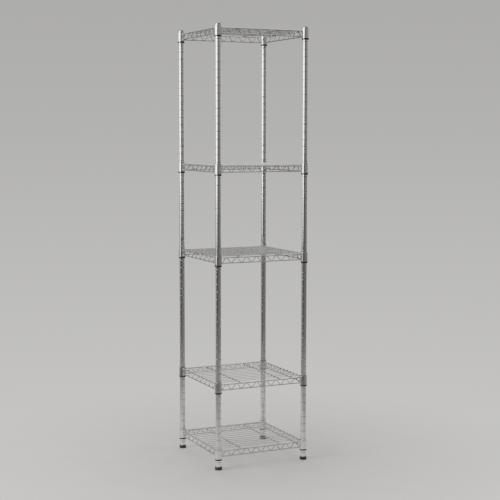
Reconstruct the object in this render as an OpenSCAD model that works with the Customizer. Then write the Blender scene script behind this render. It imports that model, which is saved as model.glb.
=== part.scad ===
// Square wire shelving tower: five welded wire shelves on four grooved posts.
// Millimetres, +Z up, origin on the floor at the middle of the four feet.
// The front is the -Y side. Each shelf rests on split tapered sleeves that clip
// into the grooves of the posts.

/* [Posts] */
// Distance between the centres of neighbouring posts
post_spacing = 324; // [260:1:450]
// Outer diameter of a post
post_d = 19; // [17:0.1:22]
// Wall thickness of a post tube
post_wall = 1; // [0.8:0.1:1.5]
// Distance between neighbouring grooves round a post
groove_pitch = 25.4; // [24:0.1:28]
// Width of a groove at the surface of the post
groove_w = 1.8; // [1.4:0.1:2.4]
// Depth of a groove
groove_depth = 0.45; // [0.35:0.05:0.6]
// Height of the first groove above the lower end of the post
first_groove_rise = 15.1; // [12:0.1:24]
// Height of the upper end of the post above the top shelf's groove
post_top_rise = 23.3; // [21:0.1:40]
// Grooves between the third shelf's groove and the joint of the post
joint_steps = 2; // [2:1:6]
// Bevel on each end of a post tube
post_bevel = 0.4; // [0.2:0.1:0.6]

/* [Shelf places] */
// Groove that holds the lowest shelf, the first groove being number 0
shelf_1_groove = 1; // [1:1:4]
// Grooves from the first shelf up to the second
bay_1_steps = 9; // [6:1:14]
// Grooves from the second shelf up to the third
bay_2_steps = 17; // [6:1:20]
// Grooves from the third shelf up to the fourth
bay_3_steps = 12; // [9:1:20]
// Grooves from the fourth shelf up to the top shelf
bay_4_steps = 18; // [6:1:20]

/* [Sleeves] */
// Thickness of the ring at the foot of a sleeve, which sets the collar's width
ring_wall = 2.65; // [2.5:0.05:3.2]
// Height of that ring
ring_h = 5.3; // [4:0.1:8]
// Bevel on the lower edge of the ring
ring_bevel = 0.6; // [0.3:0.1:1]
// Height of the tapered part of a sleeve above its ring
taper_h = 32.8; // [28:0.1:40]
// Thickness that the taper loses from its lower end to its upper end
taper_loss = 0.6; // [0.4:0.05:0.7]
// Height of the inner rib above the foot of the sleeve
rib_rise = 19; // [14:0.1:24]
// Width of the slit between the two halves of a sleeve
slit_w = 0.5; // [0.3:0.1:1]

/* [Collars] */
// Height of a collar
collar_h = 31.6; // [28:0.1:36]
// Wall thickness of a collar
collar_wall = 1; // [0.8:0.05:1.6]
// Bevel on the outer edges of a collar
collar_bevel = 0.3; // [0.1:0.05:0.5]

/* [Shelf frame] */
// Diameter of the rails round a shelf
rail_d = 4.2; // [3.6:0.1:5.2]
// Height of a lower rail's centre above the foot of the collar
low_rail_rise = 6.3; // [4:0.1:7.5]
// Height of an upper rail's centre above the lower rail's centre
rail_spacing = 18.3; // [14:0.1:20]
// Diameter of the zigzag wire
zigzag_d = 3; // [2.4:0.1:3.4]
// Number of waves in one zigzag wire
zigzag_waves = 8; // [6:2:10]
// Bend radius of the zigzag wire, at its centre line
zigzag_bend = 4; // [3:0.1:5]
// Distance of the zigzag's crests and troughs inside the rails' centre lines
zigzag_inset = 0.5; // [0.4:0.1:1.5]
// Space between the end of a zigzag wire and the collar
zigzag_end_gap = 0.5; // [0.3:0.1:2]

/* [Deck] */
// Diameter of a deck wire
deck_wire_d = 2.6; // [2:0.1:3.2]
// Number of deck wires on a shelf
deck_wire_count = 12; // [9:1:14]
// Length by which a deck wire stops short of the rail's outer side
deck_wire_inset = 0.3; // [0:0.1:1]
// Diameter of a cross brace under the deck wires
brace_d = 4.2; // [3:0.1:5]
// Waves of the zigzag between the middle of the shelf and a brace
brace_waves = 2; // [1:1:2]

/* [Feet] */
// Diameter of a levelling foot
foot_d = 24.4; // [18:0.1:26]
// Height of a levelling foot
foot_h = 10.9; // [9:0.1:16]
// Bevel on the lower edge of a foot
foot_bevel = 1; // [0.5:0.1:2]
// Height of the waist groove above the floor
waist_z = 5.2; // [4:0.1:7]
// Width of the waist groove
waist_w = 1; // [0.6:0.1:1.5]
// Depth of the waist groove
waist_depth = 0.5; // [0.3:0.1:1]
// Depth of the foot's stud inside the foot
stud_seat = 7; // [5:0.1:8]
// Length of the foot's stud above the foot
stud_rise = 26; // [24:0.5:40]

/* [Threaded parts] */
// Diameter of the studs
stud_d = 8; // [6:0.1:9]
// Length of a threaded plug in the end of a post
plug_h = 13; // [10:0.5:20]
// Length of the stud that joins the two tubes of a post
joint_stud_l = 24; // [18:0.5:32]

/* [Top caps] */
// Height of the cap's straight rim above the post
cap_rim_h = 1; // [0.6:0.1:2]
// Rise of the cap's dome above its rim
cap_dome_h = 1.6; // [1:0.1:3]
// Length of the cap's stem inside the post
cap_stem_h = 9; // [6:0.5:15]

/* [Fits] */
// Radial gap of a part that is pushed or screwed into another
fit_gap = 0.05; // [0.02:0.01:0.1]
// Radial gap between a collar and the sleeve that it wedges on
wedge_gap = 0.08; // [0.04:0.01:0.1]
// Gap between a collar's foot and the ring that it stands on
seat_gap = 0.1; // [0.05:0.05:0.3]
// Gap between the top of a foot and the end of its post
foot_gap = 0.3; // [0.1:0.05:0.5]
// Depth to which crossing wires are fused in a weld
weld_sink = 0.4; // [0.2:0.05:0.6]

/* [Hidden] */
$fn = 64;
corner_names = ["front_left", "front_right", "back_left", "back_right"];
corners = [[-1, -1], [1, -1], [-1, 1], [1, 1]];
shelf_numbers = [1, 2, 3, 4, 5];

chrome = [0.80, 0.81, 0.82];
wire_chrome = [0.72, 0.73, 0.75];
steel = [0.55, 0.56, 0.58];
black = [0.07, 0.07, 0.07];
dark_grey = [0.20, 0.20, 0.21];

cut = 1;
post_r = post_d / 2;
tube_r = post_r - post_wall;
post_z = foot_h + foot_gap;
half_spacing = post_spacing / 2;

bay_steps = [bay_1_steps, bay_2_steps, bay_3_steps, bay_4_steps];
function steps_below(k) = k > 1 ? steps_below(k - 1) + bay_steps[k - 2] : 0;
function groove_z(i) = post_z + first_groove_rise + i * groove_pitch;
function shelf_groove(k) = shelf_1_groove + steps_below(k);
last_groove = shelf_groove(len(shelf_numbers));
joint_z = groove_z(shelf_groove(3) + joint_steps);
post_top_z = groove_z(last_groove) + post_top_rise;

// A sleeve's foot and the collar's foot above it, for shelf number k
function sleeve_z(k) = groove_z(shelf_groove(k)) - rib_rise;
function collar_z(k) = sleeve_z(k) + ring_h + seat_gap;

// A collar's foot is as wide as the ring that it stands on, and it narrows upwards
// as the taper inside it does. Radii at the height h above the collar's foot
sleeve_r = post_r + fit_gap;
ring_r = sleeve_r + ring_wall;
function collar_r(h) = ring_r - taper_loss * h / taper_h;
function taper_r(h) = collar_r(h) - collar_wall - wedge_gap;

rail_r = rail_d / 2;
upper_rail_rise = low_rail_rise + rail_spacing;
deck_rise = upper_rail_rise + rail_r + deck_wire_d / 2 - weld_sink;
brace_rise = upper_rail_rise + rail_r - brace_d / 2;
deck_pitch = post_spacing / (deck_wire_count + 1);

// The zigzag is made of equal arcs joined by straight lengths that touch them.
// Its slope follows from the wave length, the height and the bend radius.
zigzag_l = post_spacing - 2 * (collar_r(0) + zigzag_end_gap);
wave_l = zigzag_l / zigzag_waves;
zigzag_h = rail_spacing - 2 * zigzag_inset;
arc_rise = zigzag_h - 2 * zigzag_bend;
arc_span = norm([wave_l / 2, arc_rise]);
zigzag_slope = atan2(arc_rise, wave_l / 2) + asin(2 * zigzag_bend / arc_span);
zigzag_run = sqrt(pow(arc_span, 2) - pow(2 * zigzag_bend, 2));
zigzag_y = half_spacing - rail_r - zigzag_d / 2 + weld_sink;
// A bend is this much thicker all round, and each straight length ends inside it
bend_lip = 0.03;
bend_lap = 0.3;

stud_r = stud_d / 2;
plug_r = tube_r - fit_gap;
foot_r = foot_d / 2;
cap_ball_r = (pow(post_r, 2) + pow(cap_dome_h, 2)) / (2 * cap_dome_h);

module at_corner(i) {
    translate([corners[i][0] * half_spacing, corners[i][1] * half_spacing, 0])
        children();
}

module at_corners() {
    for (i = [0:3]) {
        at_corner(i) children();
    }
}

// Repeats its child on the four sides; the child lies along the front, at -Y
module on_sides() {
    for (turn = [0:90:270]) {
        rotate([0, 0, turn]) children();
    }
}

// A bar along X from x0 to x1, with its centre line at the given y and z
module bar_x(x0, x1, y, z, d) {
    translate([x0, y, z])
        rotate([0, 90, 0])
            cylinder(d = d, h = x1 - x0);
}

// Corner points of the grooves between two heights, going up
function groove_points(z0, z1) = [
    for (i = [0:last_groove])
        let (z = groove_z(i))
            if (z - groove_w > z0 && z + groove_w < z1)
                each [
                    [post_r, z - groove_w / 2],
                    [post_r - groove_depth, z - groove_w / 4],
                    [post_r - groove_depth, z + groove_w / 4],
                    [post_r, z + groove_w / 2]
                ]
];

// One grooved tube with bevelled ends
module post_tube(z0, z1) {
    outline = concat(
        [[tube_r, z0], [post_r - post_bevel, z0], [post_r, z0 + post_bevel]],
        groove_points(z0, z1),
        [[post_r, z1 - post_bevel], [post_r - post_bevel, z1], [tube_r, z1]]
    );
    rotate_extrude() polygon(outline);
}

module post_lower(i) {
    color(chrome) at_corner(i) post_tube(post_z, joint_z);
}

module post_upper(i) {
    color(chrome) at_corner(i) post_tube(joint_z, post_top_z);
}

// A round plug in a tube, with a hole for a stud right through it
module threaded_plug(z0) {
    translate([0, 0, z0]) difference() {
        cylinder(r = plug_r, h = plug_h);
        translate([0, 0, -cut])
            cylinder(r = stud_r + fit_gap, h = plug_h + 2 * cut);
    }
}

module post_joint_plugs() {
    color(steel) at_corners() {
        threaded_plug(joint_z - plug_h);
        threaded_plug(joint_z);
    }
}

module post_joint_studs() {
    color(steel) at_corners()
        translate([0, 0, joint_z - joint_stud_l / 2])
            cylinder(r = stud_r, h = joint_stud_l);
}

module post_foot_plugs() {
    color(steel) at_corners() threaded_plug(post_z);
}

// A stem in the tube, a rim as wide as the post and a low dome
module post_caps() {
    color(dark_grey) at_corners() translate([0, 0, post_top_z]) union() {
        translate([0, 0, -cap_stem_h])
            cylinder(r = plug_r, h = cap_stem_h);
        cylinder(r = post_r, h = cap_rim_h);
        translate([0, 0, cap_rim_h]) intersection() {
            cylinder(r = post_r, h = cap_dome_h);
            translate([0, 0, cap_dome_h - cap_ball_r])
                sphere(r = cap_ball_r, $fn = 96);
        }
    }
}

// A round foot with a bevelled sole, a waist groove and a seat for its stud
module foot_pad(i) {
    outline = [
        [0, 0],
        [foot_r - foot_bevel, 0],
        [foot_r, foot_bevel],
        [foot_r, waist_z - waist_w / 2],
        [foot_r - waist_depth, waist_z - waist_w / 4],
        [foot_r - waist_depth, waist_z + waist_w / 4],
        [foot_r, waist_z + waist_w / 2],
        [foot_r, foot_h - foot_bevel / 2],
        [foot_r - foot_bevel / 2, foot_h],
        [0, foot_h]
    ];
    color(black) at_corner(i) difference() {
        rotate_extrude() polygon(outline);
        translate([0, 0, foot_h - stud_seat])
            cylinder(r = stud_r + fit_gap, h = stud_seat + cut);
    }
}

module foot_stud(i) {
    color(steel) at_corner(i)
        translate([0, 0, foot_h - stud_seat])
            cylinder(r = stud_r, h = stud_seat + stud_rise);
}

// Two half shells round each post, whose inner rib sits in a groove
module sleeves(k) {
    rib_r = post_r - groove_depth + 2 * fit_gap;
    rib_w = groove_w - 4 * fit_gap;
    top = ring_h + taper_h;
    outline = [
        [sleeve_r, 0],
        [ring_r - ring_bevel, 0],
        [ring_r, ring_bevel],
        [ring_r, ring_h],
        [taper_r(-seat_gap), ring_h],
        [taper_r(taper_h - seat_gap), top],
        [sleeve_r, top],
        [sleeve_r, rib_rise + rib_w / 2],
        [rib_r, rib_rise + rib_w / 4],
        [rib_r, rib_rise - rib_w / 4],
        [sleeve_r, rib_rise - rib_w / 2]
    ];
    color(black) at_corners() translate([0, 0, sleeve_z(k)]) difference() {
        rotate_extrude() polygon(outline);
        translate([-2 * ring_r, -slit_w / 2, -cut])
            cube([4 * ring_r, slit_w, top + 2 * cut]);
    }
}

// Tapered collars that wedge down over the sleeves
module collars(k) {
    low_r = collar_r(0);
    top_r = collar_r(collar_h);
    outline = [
        [low_r - collar_wall, 0],
        [low_r - collar_bevel, 0],
        [low_r, collar_bevel],
        [top_r, collar_h - collar_bevel],
        [top_r - collar_bevel, collar_h],
        [top_r - collar_wall, collar_h]
    ];
    color(chrome) at_corners() translate([0, 0, collar_z(k)])
        rotate_extrude() polygon(outline);
}

// Four rails from collar to collar, the given height above the collars' feet
module rail_ring(k, rise) {
    end = half_spacing - collar_r(rise) + weld_sink;
    on_sides() bar_x(-end, end, -half_spacing, collar_z(k) + rise, rail_d);
}

module upper_rails(k) {
    color(wire_chrome) rail_ring(k, upper_rail_rise);
}

module lower_rails(k) {
    color(wire_chrome) rail_ring(k, low_rail_rise);
}

// An arc of the zigzag in the XZ plane, between two angles from +X
module zigzag_arc(x, z, from_angle, to_angle) {
    translate([x, 0, z])
        rotate([90, 0, 0])
            rotate([0, 0, from_angle])
                rotate_extrude(angle = to_angle - from_angle)
                    translate([zigzag_bend, 0])
                        circle(d = zigzag_d + 2 * bend_lip, $fn = 32);
}

// A straight length of the zigzag, centred at x and rising to the right or left
module zigzag_straight(x, z, side) {
    translate([x, 0, z])
        rotate([0, side * (90 - zigzag_slope), 0])
            cylinder(d = zigzag_d, h = zigzag_run + 2 * bend_lap, center = true, $fn = 32);
}

// One wire along the front: troughs at both ends, a crest in every wave
module zigzag_wire(mid_z) {
    low_z = mid_z - arc_rise / 2;
    top_z = mid_z + arc_rise / 2;
    lean = 90 - zigzag_slope;
    translate([0, -zigzag_y, 0]) union() {
        for (i = [0:zigzag_waves - 1]) {
            x = (i - zigzag_waves / 2) * wave_l;
            zigzag_straight(x + wave_l / 4, mid_z, 1);
            zigzag_straight(x + wave_l * 3 / 4, mid_z, -1);
            zigzag_arc(x + wave_l / 2, top_z, lean, 180 - lean);
            if (i > 0) {
                zigzag_arc(x, low_z, 180 + lean, 360 - lean);
            }
        }
        zigzag_arc(-zigzag_l / 2, low_z, 270, 360 - lean);
        zigzag_arc(zigzag_l / 2, low_z, 180 + lean, 270);
    }
}

module zigzag_wires(k) {
    color(wire_chrome) on_sides()
        zigzag_wire(collar_z(k) + low_rail_rise + rail_spacing / 2);
}

// Thin wires across the shelf, lying on the left and right upper rails
module deck_wires(k) {
    end = half_spacing + rail_r - deck_wire_inset;
    color(wire_chrome) for (i = [1:deck_wire_count]) {
        y = i * deck_pitch - half_spacing;
        bar_x(-end, end, y, collar_z(k) + deck_rise, deck_wire_d);
    }
}

// Two bars under the deck wires, from the front rail to the back rail
module cross_braces(k) {
    end = half_spacing - rail_r + weld_sink;
    color(wire_chrome) rotate([0, 0, 90]) for (side = [-1, 1]) {
        bar_x(-end, end, side * brace_waves * wave_l, collar_z(k) + brace_rise, brace_d);
    }
}

for (i = [0:3]) {
    name = corner_names[i];
    post_lower(i);
    post_upper(i);
    foot_pad(i);
    foot_stud(i);
}
post_joint_plugs();
post_joint_studs();
post_caps();
post_foot_plugs();
for (k = shelf_numbers) {
    sleeves(k);
    collars(k);
    upper_rails(k);
    lower_rails(k);
    zigzag_wires(k);
    deck_wires(k);
    cross_braces(k);
}
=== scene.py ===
import math
import bmesh
import bpy
from mathutils import Matrix, Vector


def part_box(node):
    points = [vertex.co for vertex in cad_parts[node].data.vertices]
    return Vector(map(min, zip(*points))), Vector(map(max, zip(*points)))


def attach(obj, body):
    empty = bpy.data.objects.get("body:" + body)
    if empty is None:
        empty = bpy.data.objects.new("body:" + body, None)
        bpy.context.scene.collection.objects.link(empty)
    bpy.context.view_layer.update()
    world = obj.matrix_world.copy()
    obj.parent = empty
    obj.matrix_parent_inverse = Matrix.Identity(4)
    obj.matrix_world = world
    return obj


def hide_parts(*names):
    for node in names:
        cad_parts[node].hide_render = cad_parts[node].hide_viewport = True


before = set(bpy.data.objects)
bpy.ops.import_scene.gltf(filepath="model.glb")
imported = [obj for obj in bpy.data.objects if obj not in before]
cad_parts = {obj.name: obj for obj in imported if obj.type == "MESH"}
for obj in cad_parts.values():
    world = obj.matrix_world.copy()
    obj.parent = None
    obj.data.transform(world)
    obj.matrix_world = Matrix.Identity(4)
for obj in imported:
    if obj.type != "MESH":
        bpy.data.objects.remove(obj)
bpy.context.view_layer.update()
print("stage: frame loaded")

mm = 0.001
mergeGap = 0.001 * mm
corners = {"front_left": (-1, -1), "front_right": (1, -1),
           "back_left": (-1, 1), "back_right": (1, 1)}
shelves = [1, 2, 3, 4, 5]  # from the floor up

# Places that every piece is set from, read off the frame
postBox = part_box("post_lower_front_left")
half = -(postBox[0].x + postBox[1].x) / 2  # from the unit's middle to a post's, in X and Y
postR = (postBox[1].x - postBox[0].x) / 2
collarZ = {k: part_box(f"collars_{k}")[0].z for k in shelves}
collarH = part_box("collars_1")[1].z - collarZ[1]
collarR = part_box("collars_1")[1].x - half
sleeveZ = {k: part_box(f"sleeves_{k}")[0].z for k in shelves}
railBox = {"low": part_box("lower_rails_1"), "high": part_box("upper_rails_1")}
railR = (railBox["low"][1].z - railBox["low"][0].z) / 2
railRise = {name: box[0].z + railR - collarZ[1] for name, box in railBox.items()}
postAt = {name: Vector((x * half, y * half, 0)) for name, (x, y) in corners.items()}
toPosts = [Matrix.Translation(place) for place in postAt.values()]
toSides = [Matrix.Rotation(math.radians(turn), 4, "Z") for turn in (0, 90, 180, 270)]
alongX = Matrix.Rotation(math.radians(90), 4, "Y")
alongY = Matrix.Rotation(math.radians(90), 4, "Z")


# Modelling helpers

def vertsOf(geom):
    return [g for g in geom if isinstance(g, bmesh.types.BMVert)]


def edgesOf(geom):
    return [g for g in geom if isinstance(g, bmesh.types.BMEdge)]


# Adds a point just inside both ends of each long flat, so that it shades flat up to its corners
def withHolds(points, hold=0.25 * mm, shortest=1.5 * mm):
    held = []
    for first, last in zip(points, points[1:]):
        first, last = Vector(first), Vector(last)
        held.append(first)
        if (last - first).length > shortest:
            step = (last - first).normalized() * hold
            for end, place in ((first, first + step), (last, last - step)):
                if end[0] > 0:  # a pole needs none
                    held.append(place)
    return held + [Vector(points[-1])]


# The three points that round an outer edge of a (radius, height) profile, at its foot or its top
def roundFoot(r, soft):
    return [(r - soft, 0), (r - soft / 3, soft / 3), (r, soft)]


def roundTop(r, z, soft):
    return [(r, z - soft), (r - soft / 3, z - soft / 3), (r - soft, z)]


def makeChain(bm, points):
    verts = [bm.verts.new((r, 0, z)) for r, z in points]
    return verts, [bm.edges.new(pair) for pair in zip(verts, verts[1:])]


# Spins a chain of (radius, height) points round Z
def spinProfile(bm, points, steps, closed=False, sweep=360.0, start=0.0):
    chain = withHolds(points + points[:1])[:-1] if closed else withHolds(points)
    verts, edges = makeChain(bm, chain)
    if closed:
        edges.append(bm.edges.new((verts[-1], verts[0])))
    turn = Matrix.Rotation(math.radians(start), 3, "Z")
    bmesh.ops.rotate(bm, verts=verts, cent=(0, 0, 0), matrix=turn)
    bmesh.ops.spin(bm, geom=verts + edges, cent=(0, 0, 0), axis=(0, 0, 1),
                   angle=math.radians(sweep), steps=steps, use_merge=sweep == 360)


# Copies what is at the origin to every place
def copyTo(bm, places):
    geom = bm.verts[:] + bm.edges[:] + bm.faces[:]
    for place in places:
        made = bmesh.ops.duplicate(bm, geom=geom)["geom"]
        bmesh.ops.transform(bm, matrix=place, verts=vertsOf(made))
    bmesh.ops.delete(bm, geom=vertsOf(geom), context="VERTS")


def closeEnds(bm):
    bmesh.ops.remove_doubles(bm, verts=bm.verts, dist=mergeGap)
    bmesh.ops.holes_fill(bm, edges=[e for e in bm.edges if e.is_boundary], sides=0)


# A round bar along X from a chain of (radius, x) points
def barShape(points, around):
    bm = bmesh.new()
    spinProfile(bm, points, around)
    bmesh.ops.transform(bm, matrix=alongX, verts=bm.verts)
    return bm


def addObject(name, data):
    made = bpy.data.objects.new(name, data)
    bpy.context.scene.collection.objects.link(made)
    return made


def meshObject(bm, name, material):
    mesh = bpy.data.meshes.new(name)
    bm.to_mesh(mesh)
    bm.free()
    mesh.materials.append(material)
    return addObject(name, mesh)


# Edges that turn by more than the sharp angle stay crisp
def finishPiece(bm, name, body, material, nodes=(), sharp=40):
    bmesh.ops.remove_doubles(bm, verts=bm.verts, dist=mergeGap)
    bmesh.ops.recalc_face_normals(bm, faces=bm.faces)
    for face in bm.faces:
        face.smooth = True
    for edge in bm.edges:
        edge.smooth = edge.calc_face_angle(0) < math.radians(sharp)
    piece = meshObject(bm, name, material)
    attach(piece, body)
    if nodes:
        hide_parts(*nodes)


# Node helpers: every x and y is the node's place in the editor

def addNode(tree, kind, x, y, **settings):
    node = tree.nodes.new("ShaderNode" + kind)
    node.location = (x, y)
    for name, value in settings.items():
        if name in node.inputs:
            node.inputs[name].default_value = value
        else:
            setattr(node, name, value)
    return node


# Links another node's output to the socket, or sets it to a plain value
def feed(tree, socket, value):
    if hasattr(value, "is_output"):
        tree.links.new(value, socket)
    else:
        socket.default_value = value


def mathNode(tree, operation, first, second, x, y, third=0.0, clamp=False):
    node = addNode(tree, "Math", x, y, operation=operation, use_clamp=clamp)
    for socket, value in zip(node.inputs, (first, second, third)):
        feed(tree, socket, value)
    return node.outputs[0]


def mixColor(tree, factor, first, second, x, y, blend="MIX"):
    node = addNode(tree, "Mix", x, y, data_type="RGBA", blend_type=blend)
    for i, value in ((0, factor), (6, first), (7, second)):  # 6 and 7 are the colours A and B
        feed(tree, node.inputs[i], value)
    return node.outputs[2]


def mapRange(tree, value, span, result, x, y):
    node = addNode(tree, "MapRange", x, y)
    for i, given in enumerate((value, *span, *result)):
        feed(tree, node.inputs[i], given)
    return node.outputs[0]


# Rises from 0 to 1 as the value goes through the span
def maskNode(tree, value, span, x, y):
    return mapRange(tree, value, span, (0.0, 1.0), x, y)


def noiseNode(tree, vector, scale, x, y, **settings):
    node = addNode(tree, "TexNoise", x, y, **settings)
    feed(tree, node.inputs["Vector"], vector)
    feed(tree, node.inputs["Scale"], scale)
    return node.outputs[0]


def heightOf(tree, vector, x, y):
    split = addNode(tree, "SeparateXYZ", x, y)
    feed(tree, split.inputs[0], vector)
    return split.outputs[2]


# White on faces that look up
def upwardMask(tree, span, x, y):
    facing = addNode(tree, "NewGeometry", x, y)
    return maskNode(tree, heightOf(tree, facing.outputs["Normal"], x + 160, y), span, x + 340, y)


def addRamp(tree, value, stops, x, y):
    node = addNode(tree, "ValToRGB", x, y)
    feed(tree, node.inputs[0], value)
    points = node.color_ramp.elements  # a new ramp has two
    for i, (place, color) in enumerate(stops):
        point = points[i] if i < 2 else points.new(place)
        point.position, point.color = place, color
    return node.outputs[0]


# A node group that gives a colour, a roughness and a height for the Bump node
def newGroup(name, inputs):
    group = bpy.data.node_groups.new(name, "ShaderNodeTree")
    outputs = {"Color": "Color", "Roughness": "Float", "Height": "Float"}
    for side, sockets in (("INPUT", inputs), ("OUTPUT", outputs)):
        for label, kind in sockets.items():
            group.interface.new_socket(label, in_out=side, socket_type="NodeSocket" + kind)
    coords = addNode(group, "TexCoord", -1200, 200)
    into, out = group.nodes.new("NodeGroupInput"), group.nodes.new("NodeGroupOutput")
    into.location, out.location = (-1200, -200), (900, 0)
    return group, coords.outputs["Object"], into.outputs, out.inputs


# Plated metal: cloudy haze, fine polishing scratches and a little dust on upward faces
plating = {"hazeSpan": (0.38, 0.68), "hazeShare": 0.7,
           "scratchStretch": (1.0, 1.0, 0.06), "scratchTurn": (0.35, 0.2, 0.4),
           "scratchSpan": (0.62, 0.7), "scratchDull": 0.07, "scratchDepth": 0.02,
           "speckScale": 2600.0, "speckSpan": (0.56, 0.64), "upwardSpan": (0.35, 0.95),
           "dustTone": (0.42, 0.40, 0.37, 1), "dustDull": 0.5}


def makePlatedMetal():
    group, coords, given, result = newGroup("platedMetal", {
        "Tone": "Color", "Haze Tone": "Color", "Haze Scale": "Float", "Scratch Scale": "Float",
        "Polished": "Float", "Dull": "Float", "Dust": "Float"})
    haze = noiseNode(group, coords, given["Haze Scale"], -900, 300, Detail=4.0, Roughness=0.6)
    haze = maskNode(group, haze, plating["hazeSpan"], -650, 300)
    wave = noiseNode(group, coords, given["Haze Scale"], -900, 550, Detail=0.0)
    squash = addNode(group, "Mapping", -1050, 0, Scale=plating["scratchStretch"],
                     Rotation=plating["scratchTurn"])
    feed(group, squash.inputs["Vector"], coords)
    scratch = noiseNode(group, squash.outputs[0], given["Scratch Scale"], -850, 0,
                        Detail=2.0, Roughness=0.5)
    scratch = maskNode(group, scratch, plating["scratchSpan"], -650, 0)
    speck = noiseNode(group, coords, plating["speckScale"], -900, -400, Detail=1.0)
    speck = maskNode(group, speck, plating["speckSpan"], -650, -400)
    upward = upwardMask(group, plating["upwardSpan"], -900, -650)
    dust = mathNode(group, "MULTIPLY", speck, upward, -380, -500)
    dust = mathNode(group, "MULTIPLY", dust, given["Dust"], -200, -500, clamp=True)
    hazeShare = mathNode(group, "MULTIPLY", haze, plating["hazeShare"], -400, 250)
    tone = mixColor(group, hazeShare, given["Tone"], given["Haze Tone"], -150, 250)
    tone = mixColor(group, dust, tone, plating["dustTone"], 100, 250)
    rough = mapRange(group, haze, (0.0, 1.0), (given["Polished"], given["Dull"]), -150, -50)
    rough = mathNode(group, "MULTIPLY_ADD", scratch, plating["scratchDull"], 100, 0, rough)
    rough = mathNode(group, "MULTIPLY_ADD", dust, plating["dustDull"], 300, 0, rough, clamp=True)
    height = mathNode(group, "MULTIPLY_ADD", scratch, -plating["scratchDepth"], 300, -300, wave)
    for label, value in (("Color", tone), ("Roughness", rough), ("Height", height)):
        feed(group, result[label], value)
    return group


# Moulded plastic: fine grain, flow clouding, scuffs and dust on upward faces
moulding = {"cloudScale": 120.0, "cloudSpan": (0.42, 0.7), "upwardSpan": (0.3, 0.95),
            "dustSpan": (0.45, 0.65), "leastDust": 0.2, "dustTone": (0.33, 0.31, 0.29, 1),
            "dustDull": 0.4}


def makeMouldedPlastic():
    group, coords, given, result = newGroup("mouldedPlastic", {
        "Tone": "Color", "Scuff Tone": "Color", "Grain Scale": "Float", "Smooth": "Float",
        "Scuffed": "Float", "Dust": "Float"})
    cloud = noiseNode(group, coords, moulding["cloudScale"], -900, 300, Detail=5.0,
                      Roughness=0.65)
    cloud = maskNode(group, cloud, moulding["cloudSpan"], -650, 300)
    grain = noiseNode(group, coords, given["Grain Scale"], -900, 0, Detail=2.0)
    upward = upwardMask(group, moulding["upwardSpan"], -900, -400)
    dust = mapRange(group, grain, moulding["dustSpan"], (moulding["leastDust"], 1.0), -560, -150)
    dust = mathNode(group, "MULTIPLY", dust, upward, -350, -300)
    dust = mathNode(group, "MULTIPLY", dust, given["Dust"], -200, -300, clamp=True)
    tone = mixColor(group, cloud, given["Tone"], given["Scuff Tone"], -150, 250)
    tone = mixColor(group, dust, tone, moulding["dustTone"], 100, 250)
    rough = mapRange(group, cloud, (0.0, 1.0), (given["Smooth"], given["Scuffed"]), -150, -50)
    rough = mathNode(group, "MULTIPLY_ADD", dust, moulding["dustDull"], 100, 0, rough, clamp=True)
    for label, value in (("Color", tone), ("Roughness", rough), ("Height", grain)):
        feed(group, result[label], value)
    return group


platedMetal = makePlatedMetal()
mouldedPlastic = makeMouldedPlastic()


# One of the two groups with its own values, a bump depth and the shader's plain values
def surfaceMaterial(name, group, bumpDepth, shaderValues, values):
    material = bpy.data.materials.new(name)
    material.use_nodes = True
    tree = material.node_tree
    tree.nodes.clear()
    out = addNode(tree, "OutputMaterial", 600, 0)
    shader = addNode(tree, "BsdfPrincipled", 300, 0, **shaderValues)
    finish = addNode(tree, "Group", -300, 0, node_tree=group)
    for label, value in values.items():
        finish.inputs[label].default_value = value
    bump = addNode(tree, "Bump", 50, -250, Distance=bumpDepth, Strength=1.0)
    feed(tree, out.inputs["Surface"], shader.outputs[0])
    feed(tree, shader.inputs["Base Color"], finish.outputs["Color"])
    feed(tree, shader.inputs["Roughness"], finish.outputs["Roughness"])
    feed(tree, bump.inputs["Height"], finish.outputs["Height"])
    feed(tree, shader.inputs["Normal"], bump.outputs[0])
    return material


# Painted shade: darkens the rolled grooves of a post with a dark colour, and dulls them
grooveShade = {"share": 0.85, "full": 0.36, "none": 0.64, "tone": (0.08, 0.078, 0.072, 1), "dull": 0.35}


def addGrooveShade(material, first, pitch, width):
    tree = material.node_tree
    finish, shader = tree.nodes["Group"], tree.nodes["Principled BSDF"]
    coords = addNode(tree, "TexCoord", -1100, 400)
    height = heightOf(tree, coords.outputs["Object"], -900, 400)
    away = mathNode(tree, "SUBTRACT", height, first, -700, 400)
    away = mathNode(tree, "PINGPONG", away, pitch / 2, -500, 400)
    mask = mapRange(tree, away, (width * grooveShade["full"], width * grooveShade["none"]),
                    (grooveShade["share"], 0.0), -300, 400)
    # The painted shade goes into the chrome's colour here, the dulling into its roughness below
    tone = mixColor(tree, mask, finish.outputs["Color"], grooveShade["tone"], -50, 300)
    dull = mathNode(tree, "MULTIPLY_ADD", mask, grooveShade["dull"], -50, 100,
                    finish.outputs["Roughness"], clamp=True)
    feed(tree, shader.inputs["Base Color"], tone)
    feed(tree, shader.inputs["Roughness"], dull)


# Chrome seen in other chrome counts as satin, which keeps reflections of reflections free of grain
def calmReflections(material, extra=0.6):
    tree = material.node_tree
    socket = tree.nodes["Principled BSDF"].inputs["Roughness"]
    path = addNode(tree, "LightPath", -300, 700)
    calm = mathNode(tree, "MULTIPLY_ADD", path.outputs["Is Glossy Ray"], extra, 120, 250,
                    socket.links[0].from_socket, clamp=True)
    feed(tree, socket, calm)


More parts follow.
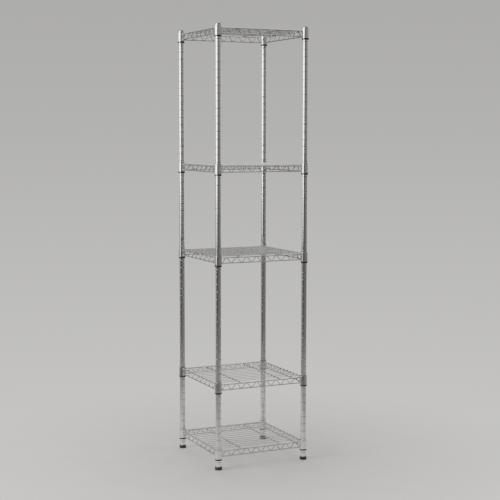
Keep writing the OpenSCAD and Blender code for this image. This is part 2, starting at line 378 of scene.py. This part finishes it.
chromeLook = {"Metallic": 1.0}
plasticLook = {"Metallic": 0.0, "IOR": 1.5}
postChrome = surfaceMaterial("postChrome", platedMetal, 0.02 * mm, chromeLook, {
    "Tone": (0.83, 0.835, 0.84, 1), "Haze Tone": (0.74, 0.74, 0.735, 1), "Haze Scale": 22.0,
    "Scratch Scale": 700.0, "Polished": 0.07, "Dull": 0.15, "Dust": 0.3})
collarChrome = surfaceMaterial("collarChrome", platedMetal, 0.04 * mm, chromeLook, {
    "Tone": (0.82, 0.825, 0.83, 1), "Haze Tone": (0.70, 0.70, 0.695, 1), "Haze Scale": 60.0,
    "Scratch Scale": 900.0, "Polished": 0.06, "Dull": 0.16, "Dust": 0.4})
wireChrome = surfaceMaterial("wireChrome", platedMetal, 0.03 * mm, chromeLook, {
    "Tone": (0.52, 0.525, 0.53, 1), "Haze Tone": (0.40, 0.40, 0.395, 1), "Haze Scale": 90.0,
    "Scratch Scale": 1200.0, "Polished": 0.22, "Dull": 0.36, "Dust": 0.5})
weldChrome = surfaceMaterial("weldChrome", platedMetal, 0.2 * mm, chromeLook, {
    "Tone": (0.42, 0.42, 0.42, 1), "Haze Tone": (0.26, 0.25, 0.24, 1), "Haze Scale": 420.0,
    "Scratch Scale": 1600.0, "Polished": 0.38, "Dull": 0.55, "Dust": 0.5})
zincSteel = surfaceMaterial("zincSteel", platedMetal, 0.08 * mm, chromeLook, {
    "Tone": (0.50, 0.51, 0.53, 1), "Haze Tone": (0.42, 0.40, 0.33, 1), "Haze Scale": 260.0,
    "Scratch Scale": 1500.0, "Polished": 0.28, "Dull": 0.48, "Dust": 0.3})
sleevePlastic = surfaceMaterial("sleevePlastic", mouldedPlastic, 0.03 * mm, plasticLook, {
    "Tone": (0.010, 0.010, 0.010, 1), "Scuff Tone": (0.028, 0.028, 0.027, 1),
    "Grain Scale": 2200.0, "Smooth": 0.45, "Scuffed": 0.6, "Dust": 0.08})
footPlastic = surfaceMaterial("footPlastic", mouldedPlastic, 0.05 * mm, plasticLook, {
    "Tone": (0.014, 0.014, 0.014, 1), "Scuff Tone": (0.045, 0.043, 0.04, 1),
    "Grain Scale": 1600.0, "Smooth": 0.38, "Scuffed": 0.62, "Dust": 0.5})
capPlastic = surfaceMaterial("capPlastic", mouldedPlastic, 0.02 * mm, plasticLook, {
    "Tone": (0.018, 0.018, 0.019, 1), "Scuff Tone": (0.04, 0.04, 0.039, 1),
    "Grain Scale": 2400.0, "Smooth": 0.42, "Scuffed": 0.58, "Dust": 0.1})
print("stage: materials made")

# Posts: two grooved tubes each, with rolled grooves 25.4 mm apart
post = {"around": 48, "pitch": 25.4 * mm, "firstGroove": 15.1 * mm, "grooves": 58,
        "width": 1.8 * mm, "depth": 0.45 * mm, "grooveSteps": 6, "bevel": 0.4 * mm,
        "wall": 1 * mm}
grooveZ = [postBox[0].z + post["firstGroove"] + i * post["pitch"] for i in range(post["grooves"])]
# Painted shade in the posts' grooves
addGrooveShade(postChrome, grooveZ[0], post["pitch"], post["width"])
for chrome in (postChrome, collarChrome, wireChrome, weldChrome):
    calmReflections(chrome)


# One pitch of the tube's outside, with its groove in the middle
def grooveProfile():
    points = [(postR, -post["pitch"] / 2)]
    for i in range(post["grooveSteps"] + 1):
        t = 2 * i / post["grooveSteps"] - 1
        dip = post["depth"] * (0.5 + 0.5 * math.cos(math.pi * t))
        points.append((postR - dip, t * post["width"] / 2))
    return points + [(postR, post["pitch"] / 2)]


def makePost(level, corner):
    node = f"post_{level}_{corner}"
    low, high = (end.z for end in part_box(node))
    inside = [z for z in grooveZ if z - post["width"] > low and z + post["width"] < high]
    bm = bmesh.new()
    spinProfile(bm, grooveProfile(), post["around"])
    copyTo(bm, [Matrix.Translation((0, 0, z)) for z in inside])
    first, last = inside[0] - post["pitch"] / 2, inside[-1] + post["pitch"] / 2
    bore, lip, bevel = postR - post["wall"], postR - post["bevel"], post["bevel"]
    spinProfile(bm, [(postR, last), (postR, high - bevel), (lip, high), (bore, high),
                     (bore, low), (lip, low), (postR, low + bevel), (postR, first)],
                post["around"])
    bmesh.ops.translate(bm, vec=postAt[corner], verts=bm.verts)
    finishPiece(bm, f"postTube_{level}_{corner}", "tower", postChrome, [node],
                sharp=43)


for corner in corners:
    makePost("lower", corner)
    makePost("upper", corner)
print("stage: posts made")

# Post caps: a low dome on a rim as wide as the post, with a stem down the tube
cap = {"around": 48, "rim": 1 * mm, "dome": 1.6 * mm, "stem": 9 * mm, "clear": 0.05 * mm,
       "edge": 0.25 * mm, "rings": 6}


def makeCaps():
    stem, edge, rim = cap["stem"], cap["edge"], cap["rim"]
    stemR = postR - post["wall"] - cap["clear"]
    ballR = (postR ** 2 + cap["dome"] ** 2) / (2 * cap["dome"])
    dome = []
    for i in range(cap["rings"] + 1):
        r = (postR - edge) * (1 - i / cap["rings"])
        dome.append((r, rim + math.sqrt(ballR ** 2 - r ** 2) - ballR + cap["dome"]))
    bm = bmesh.new()
    spinProfile(bm, [(0, -stem), (stemR - edge, -stem), (stemR, edge - stem), (stemR, 0),
                     (postR - edge, 0), (postR, edge), (postR, rim - edge)] + dome,
                cap["around"])
    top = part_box("post_upper_front_left")[1].z
    copyTo(bm, [Matrix.Translation((0, 0, top)) @ place for place in toPosts])
    finishPiece(bm, "postCaps", "tower", capPlastic, ["post_caps"], sharp=50)


makeCaps()

# Sleeves: two half shells round each post, a ring below a taper, with a rib in the groove
sleeve = {"steps": 22, "slit": 1.4, "ring": 5.3 * mm, "top": 38.1 * mm, "clear": 0.05 * mm,
          "footInset": 1.08 * mm, "topInset": 1.68 * mm, "rib": 19 * mm, "ribHeight": 1.6 * mm,
          "ribReach": 0.4 * mm, "lip": 0.2 * mm, "footRound": 0.6 * mm, "round": 0.2 * mm}


def makeSleeves(k):
    bore, lip = postR + sleeve["clear"], sleeve["lip"]
    footR, topR = collarR - sleeve["footInset"], collarR - sleeve["topInset"]
    ribR, rib, ribHeight = bore - sleeve["ribReach"], sleeve["rib"], sleeve["ribHeight"]
    outline = [(bore, lip), (bore + lip, 0)] + roundFoot(collarR, sleeve["footRound"])
    outline += roundTop(collarR, sleeve["ring"], sleeve["round"]) + [(footR, sleeve["ring"])]
    outline += roundTop(topR, sleeve["top"], sleeve["round"]) + [(bore, sleeve["top"])]
    outline += [(bore, rib + ribHeight / 2), (ribR, rib + ribHeight / 4),
                (ribR, rib - ribHeight / 4), (bore, rib - ribHeight / 2)]
    bm = bmesh.new()
    spinProfile(bm, outline, sleeve["steps"], closed=True, sweep=180 - 2 * sleeve["slit"],
                start=sleeve["slit"])
    closeEnds(bm)
    lift = Matrix.Translation((0, 0, sleeveZ[k]))
    shells = (toSides[0], toSides[2])  # the other shell is half a turn on
    copyTo(bm, [lift @ place @ shell for place in toPosts for shell in shells])
    finishPiece(bm, f"sleeveHalves_{k}", "tower", sleevePlastic,
                [f"sleeves_{k}"])


# Collars: tapered rings of sheet that wedge down over the sleeves
collar = {"around": 48, "wall": 1 * mm, "loss": 0.6 / 32.8, "round": 0.15 * mm}


def makeCollars(k):
    topR = collarR - collar["loss"] * collarH
    wall, soft = collar["wall"], collar["round"]
    outline = [(collarR - wall, soft / 2), (collarR - wall + soft / 2, 0)]
    outline += roundFoot(collarR, soft) + roundTop(topR, collarH, soft)
    outline += [(topR - wall + soft / 2, collarH), (topR - wall, collarH - soft / 2)]
    bm = bmesh.new()
    spinProfile(bm, outline, collar["around"], closed=True)
    copyTo(bm, [Matrix.Translation((0, 0, collarZ[k])) @ place for place in toPosts])
    finishPiece(bm, f"collarRings_{k}", f"shelf_{k}", collarChrome,
                [f"collars_{k}"], sharp=50)


# Rails: bars from collar to collar, with the flare of the weld at both ends
rail = {"around": 16, "sink": 0.4 * mm,
        "flare": [(0.9, 0.0), (0.8, 0.5), (0.45, 1.0), (0.2, 1.6), (0.05, 2.4), (0.0, 3.2)]}


def flaredBar(r, end):
    left = [(r + out * mm, -end + along * mm) for out, along in rail["flare"]]
    right = [(flareR, -x) for flareR, x in reversed(left)]
    return barShape([(0, -end)] + left + right + [(0, end)], rail["around"])


def makeRails(k, level):
    bm = flaredBar(railR, half - (collarR - collar["loss"] * railRise[level]) + rail["sink"])
    lift = Matrix.Translation((0, -half, collarZ[k] + railRise[level]))
    copyTo(bm, [side @ lift for side in toSides])
    node = {"low": f"lower_rails_{k}", "high": f"upper_rails_{k}"}[level]
    finishPiece(bm, f"rails_{level}_{k}", f"shelf_{k}", wireChrome, [node])


# Zigzag wires: one bent wire a side, made by bending and running on the last loop
zigzag = {"around": 12, "wireR": 1.5 * mm, "bend": 4 * mm, "waves": 8, "inset": 0.5 * mm,
          "gap": 0.5 * mm, "steps": 6}
zigzagL = 2 * (half - collarR - zigzag["gap"])
waveL = zigzagL / zigzag["waves"]
arcRise = railRise["high"] - railRise["low"] - 2 * zigzag["inset"] - 2 * zigzag["bend"]
arcSpan = math.hypot(waveL / 2, arcRise)
slope = math.atan2(arcRise, waveL / 2) + math.asin(2 * zigzag["bend"] / arcSpan)
runL = math.sqrt(arcSpan ** 2 - 4 * zigzag["bend"] ** 2)
zigzagY = half - railR - zigzag["wireR"] + rail["sink"]


def makeZigzag():
    bm = bmesh.new()
    start = Matrix.Translation((-zigzagL / 2, 0, -arcRise / 2 - zigzag["bend"])) @ alongX
    bmesh.ops.create_circle(bm, segments=zigzag["around"], radius=zigzag["wireR"], matrix=start)
    loop = bm.verts[:] + bm.edges[:]

    def bend(x, z, upward, angle, steps):
        return bmesh.ops.spin(bm, geom=loop, cent=(x, 0, z), axis=(0, -1 if upward else 1, 0),
                              angle=angle, steps=steps, use_duplicate=False)["geom_last"]

    def straight(rise):
        made = bmesh.ops.extrude_edge_only(bm, edges=edgesOf(loop))["geom"]
        verts = vertsOf(made)
        run = (runL * math.cos(slope), 0, rise * runL * math.sin(slope))
        bmesh.ops.translate(bm, vec=run, verts=verts)
        return verts + [e for e in edgesOf(made) if all(v in verts for v in e.verts)]

    full, part = zigzag["steps"], zigzag["steps"] // 2
    loop = bend(-zigzagL / 2, -arcRise / 2, True, slope, part)
    for wave in range(zigzag["waves"]):
        x = wave * waveL - zigzagL / 2
        last = wave == zigzag["waves"] - 1
        loop = straight(1)
        loop = bend(x + waveL / 2, arcRise / 2, False, 2 * slope, full)
        loop = straight(-1)
        loop = bend(x + waveL, -arcRise / 2, True, slope if last else 2 * slope,
                    part if last else full)
    closeEnds(bm)
    return bm


def makeZigzags(k):
    bm = makeZigzag()
    middle = collarZ[k] + (railRise["low"] + railRise["high"]) / 2
    lift = Matrix.Translation((0, -zigzagY, middle))
    copyTo(bm, [side @ lift for side in toSides])
    finishPiece(bm, f"zigzags_{k}", f"shelf_{k}", wireChrome,
                [f"zigzag_wires_{k}"], sharp=60)


# Deck: thin wires across the shelf on the side rails, over two braces from front to back
deck = {"around": 12, "wireR": 1.3 * mm, "count": 12, "inset": 0.3 * mm, "edge": 0.25 * mm,
        "sink": 0.4 * mm, "braceR": 2.1 * mm, "braceX": 2 * waveL}
deckRise = railRise["high"] + railR + deck["wireR"] - deck["sink"]
deckY = [(i + 1) * 2 * half / (deck["count"] + 1) - half for i in range(deck["count"])]


def makeDeckWires(k):
    end, r, edge = half + railR - deck["inset"], deck["wireR"], deck["edge"]
    bm = barShape([(0, -end), (r - edge, -end), (r, edge - end), (r, end - edge),
                   (r - edge, end), (0, end)], deck["around"])
    copyTo(bm, [Matrix.Translation((0, y, collarZ[k] + deckRise)) for y in deckY])
    finishPiece(bm, f"deckWires_{k}", f"shelf_{k}", wireChrome,
                [f"deck_wires_{k}"])


def makeBraces(k):
    bm = flaredBar(deck["braceR"], half - railR + deck["sink"])
    lift = collarZ[k] + railRise["high"]
    copyTo(bm, [Matrix.Translation((x, 0, lift)) @ alongY
                for x in (-deck["braceX"], deck["braceX"])])
    finishPiece(bm, f"deckBraces_{k}", f"shelf_{k}", wireChrome,
                [f"cross_braces_{k}"])


# Spot welds: a low bead wherever two wires are fused
weld = {"around": 8, "rings": 5, "rail": (2.2, 0.7, 1.1), "deck": (1.7, 1.4, 0.7),
        "railIn": 0.2 * mm}


def makeBead(size):
    bm = bmesh.new()
    bmesh.ops.create_uvsphere(bm, u_segments=weld["around"], v_segments=weld["rings"], radius=mm)
    bmesh.ops.scale(bm, vec=size, verts=bm.verts)
    return bm


def makeWelds(k):
    low = collarZ[k] + railRise["low"] + zigzag["inset"] / 2
    high = collarZ[k] + railRise["high"] - zigzag["inset"] / 2
    inner = -(half - railR + weld["railIn"])
    atRails = [(i * waveL / 2 - zigzagL / 2, inner, low if i % 2 == 0 else high)
               for i in range(1, 2 * zigzag["waves"])]
    beads = makeBead(weld["rail"])
    copyTo(beads, [side @ Matrix.Translation(place) for side in toSides for place in atRails])
    onDeck = [(x, y, collarZ[k] + railRise["high"] + railR - deck["sink"] / 2)
              for x in (-half, -deck["braceX"], deck["braceX"], half) for y in deckY]
    crossings = makeBead(weld["deck"])
    copyTo(crossings, [Matrix.Translation(place) for place in onDeck])
    spare = bpy.data.meshes.new("spare")  # carries the deck's beads over to the rails' beads
    crossings.to_mesh(spare)
    crossings.free()
    beads.from_mesh(spare)
    bpy.data.meshes.remove(spare)
    finishPiece(beads, f"weldBeads_{k}", f"shelf_{k}", weldChrome, sharp=80)


for k in shelves:
    makeSleeves(k)
    makeCollars(k)
    makeRails(k, "low")
    makeRails(k, "high")
    makeZigzags(k)
    makeDeckWires(k)
    makeBraces(k)
    makeWelds(k)
    print("stage: shelf", k, "made")

# Feet: a turned black pad on a threaded stud that screws up into the post.
# Sole, waist and brim are (inset, height) from the pad's own radius, the seat (radius, height)
foot = {"around": 48, "sole": [(1.2, 0), (0.5, 0.25), (0.15, 0.65), (0, 1.1)],
        "waist": [(0, 4.6), (0.25, 4.75), (0.5, 4.95), (0.5, 5.45), (0.25, 5.65), (0, 5.8)],
        "brim": [(0, 10.3), (0.1, 10.65), (0.4, 10.9)],
        "seat": [(4.5, 10.9), (4.05, 10.5), (4.05, 3.9), (0, 3.9)]}
thread = {"steps": 16, "pitch": 1.25 * mm, "crest": 4.0 * mm, "root": 3.45 * mm,
          "flanks": (0.4, 0.52, 0.92), "start": 0.2 * mm}


def makeFoot(corner):
    low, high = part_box(f"foot_pad_{corner}")
    footR = (high.x - low.x) / 2
    outside = foot["sole"] + foot["waist"] + foot["brim"]
    outside = [(footR - inset * mm, z * mm) for inset, z in outside]
    seat = [(r * mm, z * mm) for r, z in foot["seat"]]
    bm = bmesh.new()
    spinProfile(bm, [(0, 0)] + outside + seat, foot["around"])
    bmesh.ops.translate(bm, vec=postAt[corner], verts=bm.verts)
    finishPiece(bm, f"footPad_{corner}", f"foot_{corner}", footPlastic,
                [f"foot_pad_{corner}"], sharp=50)


def makeStud(corner):
    low, high = (end.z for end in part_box(f"foot_stud_{corner}"))
    crest, root, pitch = thread["crest"], thread["root"], thread["pitch"]
    turns = int((high - low) / pitch) - 1
    rise, flat, fall = (pitch * share for share in thread["flanks"])
    shape = [(root, 0), (crest, rise), (crest, flat), (root, fall), (root, pitch)]
    bm = bmesh.new()
    verts, edges = makeChain(bm, [(r, low + thread["start"] + z) for r, z in shape])
    bmesh.ops.spin(bm, geom=verts + edges, cent=(0, 0, 0), axis=(0, 0, 1),
                   dvec=(0, 0, pitch / thread["steps"]), angle=2 * math.pi * turns,
                   steps=thread["steps"] * turns)
    closeEnds(bm)
    bmesh.ops.translate(bm, vec=postAt[corner], verts=bm.verts)
    finishPiece(bm, f"footStud_{corner}", f"foot_{corner}", zincSteel,
                [f"foot_stud_{corner}"], sharp=75)


for corner in corners:
    makeFoot(corner)
    makeStud(corner)

# What the posts hide keeps its CAD mesh and gets the finish of plated steel
for node in ("post_joint_plugs", "post_joint_studs", "post_foot_plugs"):
    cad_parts[node].data.materials[0] = zincSteel
print("stage: feet made")

# Floor: a pale disc that thins out towards its rim, and is clear from below
ground = {"around": 96, "radius": 1.15, "solid": 0.3, "clear": 0.98, "roughness": 0.6,
          "tone": (0.66, 0.64, 0.615, 1), "spot": (0.60, 0.58, 0.56, 1),
          "spotScale": 9.0, "spotSpan": (0.35, 0.7)}


def makePaleFloor():
    material = bpy.data.materials.new("paleFloor")
    material.use_nodes = True
    tree = material.node_tree
    shader = tree.nodes["Principled BSDF"]
    shader.inputs["Roughness"].default_value = ground["roughness"]
    coords = addNode(tree, "TexCoord", -1000, 0).outputs["Object"]
    spots = noiseNode(tree, coords, ground["spotScale"], -700, 100, Detail=8.0)
    spots = maskNode(tree, spots, ground["spotSpan"], -500, 100)
    tone = mixColor(tree, spots, ground["tone"], ground["spot"], -250, 100)
    feed(tree, shader.inputs["Base Color"], tone)
    reach = addNode(tree, "VectorMath", -700, -200, operation="LENGTH")
    feed(tree, reach.inputs[0], coords)
    rim = (ground["solid"], ground["radius"] * ground["clear"])
    fade = mapRange(tree, reach.outputs["Value"], rim, (1.0, 0.0), -450, -200)
    below = addNode(tree, "NewGeometry", -450, -450).outputs["Backfacing"]
    fade = mathNode(tree, "SUBTRACT", fade, below, -250, -200, clamp=True)
    feed(tree, shader.inputs["Alpha"], fade)
    return material


def makeFloor():
    bm = bmesh.new()
    bmesh.ops.create_circle(bm, cap_ends=True, segments=ground["around"],
                            radius=ground["radius"])
    floor = meshObject(bm, "studioFloor", makePaleFloor())


makeFloor()

# Camera: at the photograph's viewing angle
view = {"place": (-1.7853, -3.8752, 1.136), "yaw": 25.115, "pitch": 5.437, "roll": 0.074,
        "lens": 87.665, "sensor": 36}


def makeCamera():
    yaw, pitch, roll = (math.radians(view[name]) for name in ("yaw", "pitch", "roll"))
    forward = Vector((math.sin(yaw) * math.cos(pitch), math.cos(yaw) * math.cos(pitch),
                      -math.sin(pitch)))
    level = Vector((math.cos(yaw), -math.sin(yaw), 0))
    rise = level.cross(forward)
    right = level * math.cos(roll) + rise * math.sin(roll)
    up = rise * math.cos(roll) - level * math.sin(roll)
    lens = bpy.data.cameras.new("photoCamera")
    lens.lens, lens.sensor_width = view["lens"], view["sensor"]
    camera = addObject("photoCamera", lens)
    turn = Matrix((right, up, -forward)).transposed().to_4x4()
    camera.matrix_world = Matrix.Translation(view["place"]) @ turn
    bpy.context.scene.camera = camera


makeCamera()

# Light: a bright oval softbox inside a wide faint one at the camera's left, a narrow one behind
# each side and a large one above. Sizes are (width, height), low is the lower edge's height
studio = {"side": {"brightLight": {"size": (1.65, 1.75), "low": 0.75, "glow": 7.8},
                   "wideLight": {"size": (3.3, 2.05), "low": 0.46, "glow": 1.5}},
          "sideFar": 3.0, "sideTurn": 60,
          "rimSize": (0.7, 2.2), "rimGlow": 2.6, "rimFar": 3.2, "rimTurn": 158,
          "rimHeight": 1.5, "rimAim": (0, 0, 0.75),
          "topSize": (3.6, 3.6), "topGlow": 1.6, "topPlace": (0.3, 0.3, 3.4),
          "topAim": (0, 0, 0)}
cameraYaw = math.radians(view["yaw"])
towardsCamera = Vector((view["place"][0], view["place"][1], 0)).normalized()
cameraLeft = Vector((-math.cos(cameraYaw), math.sin(cameraYaw), 0))


# A level direction, turned from the camera's by this many degrees to the camera's left
def turnedLeft(degrees):
    turn = math.radians(degrees)
    return towardsCamera * math.cos(turn) + cameraLeft * math.sin(turn)


def addSoftbox(name, place, aim, size, glow, shape="RECTANGLE"):
    lamp = bpy.data.lights.new(name, "AREA")
    lamp.shape = shape
    lamp.size, lamp.size_y = size
    lamp.energy = glow * math.pi * size[0] * size[1]
    turn = (Vector(aim) - Vector(place)).to_track_quat("-Z", "Y").to_matrix().to_4x4()
    addObject(name, lamp).matrix_world = Matrix.Translation(place) @ turn


def makeLights():
    aside = turnedLeft(studio["sideTurn"]) * studio["sideFar"]
    for name, light in studio["side"].items():
        middle = Vector((0, 0, light["low"] + light["size"][1] / 2))
        addSoftbox(name, aside + middle, middle, light["size"], light["glow"], "ELLIPSE")
    for name, side in (("leftRimLight", 1), ("rightRimLight", -1)):
        place = turnedLeft(side * studio["rimTurn"]) * studio["rimFar"]
        place.z = studio["rimHeight"]
        addSoftbox(name, place, studio["rimAim"], studio["rimSize"], studio["rimGlow"])
    addSoftbox("topLight", studio["topPlace"], studio["topAim"], studio["topSize"],
               studio["topGlow"])


makeLights()

# Surroundings, as the chrome mirrors them: darker towards the camera, paler behind, above and
# at one side, with a pale floor. The camera itself sees a plain pale backdrop. A span is of the
# view ray's height, or of how far it points towards the camera
surround = {"darkTurn": 36, "walls": [(0.06, 0.34), (0.38, 0.25), (0.68, 0.23), (0.89, 0.165),
                                      (1.0, 0.115)], "wallTint": (1.02, 1, 0.93),
            "paleTurn": 120, "paleSpan": (0.5, 1.0), "pale": (0.49, 0.48, 0.45, 1),
            "aboveSpan": (0.05, 0.6), "above": (0.455, 0.45, 0.43, 1),
            "skirtSpan": (-0.08, 0.03), "skirt": 0.68,
            "floor": [(0.1, 0.46), (0.5, 0.4), (0.75, 0.37), (1.0, 0.36)],
            "floorTint": (1, 0.95, 0.88), "floorSpan": (-0.170, -0.198),
            "nearSpan": (-0.2, -0.3), "near": 0.62,
            "backdrop": [(0.0, (1.15, 1.12, 1.05, 1)), (0.35, (0.82, 0.81, 0.775, 1)),
                         (0.6, (0.625, 0.62, 0.59, 1)), (1.0, (0.465, 0.46, 0.435, 1))],
            "backdropSpan": (-0.3, 0.2)}


def tinted(stops, tint):
    return [(place, (*(value * part for part in tint), 1)) for place, value in stops]


# How far the ray points to where the camera is, turned by this many degrees
def towardsNode(tree, coords, degrees, x, y):
    node = addNode(tree, "VectorMath", x, y, operation="DOT_PRODUCT")
    feed(tree, node.inputs[0], coords)
    turn = Matrix.Rotation(math.radians(-degrees), 3, "Z")
    node.inputs[1].default_value = turn @ towardsCamera
    return node.outputs["Value"]


def makeWorld():
    world = bpy.data.worlds.new("studioWorld")
    bpy.context.scene.world = world
    world.use_nodes = True
    tree = world.node_tree
    tree.nodes.clear()
    coords = addNode(tree, "TexCoord", -1200, 0).outputs["Generated"]
    height = heightOf(tree, coords, -950, -200)
    across = towardsNode(tree, coords, surround["darkTurn"], -950, 100)
    across = maskNode(tree, across, (-1.0, 1.0), -750, 100)
    pale = towardsNode(tree, coords, surround["paleTurn"], -950, 350)
    pale = maskNode(tree, pale, surround["paleSpan"], -750, 350)
    above = maskNode(tree, height, surround["aboveSpan"], -550, -200)
    skirt = mapRange(tree, height, surround["skirtSpan"], (surround["skirt"], 1.0), -550, -320)
    below = maskNode(tree, height, surround["floorSpan"], -550, -440)
    near = mapRange(tree, height, surround["nearSpan"], (1.0, surround["near"]), -550, -800)
    walls = tinted(surround["walls"], surround["wallTint"])
    color = addRamp(tree, across, walls, -550, 100)
    color = mixColor(tree, pale, color, surround["pale"], -450, 100)
    color = mixColor(tree, above, color, surround["above"], -350, 0)
    color = mixColor(tree, 1.0, color, skirt, -250, -100, blend="MULTIPLY")
    floor = tinted(surround["floor"], surround["floorTint"])
    floor = addRamp(tree, across, floor, -550, -560)
    floor = mixColor(tree, 1.0, floor, near, -350, -700, blend="MULTIPLY")
    color = mixColor(tree, below, color, floor, -150, -100)
    backdrop = maskNode(tree, height, surround["backdropSpan"], -750, -950)
    backdrop = addRamp(tree, backdrop, surround["backdrop"], -550, -950)
    path = addNode(tree, "LightPath", -250, 300)
    color = mixColor(tree, path.outputs["Is Camera Ray"], color, backdrop, 0, 0)
    shine = addNode(tree, "Background", 250, 0)
    out = addNode(tree, "OutputWorld", 450, 0)
    feed(tree, shine.inputs[0], color)
    feed(tree, out.inputs[0], shine.outputs[0])


makeWorld()
print("stage: studio made")
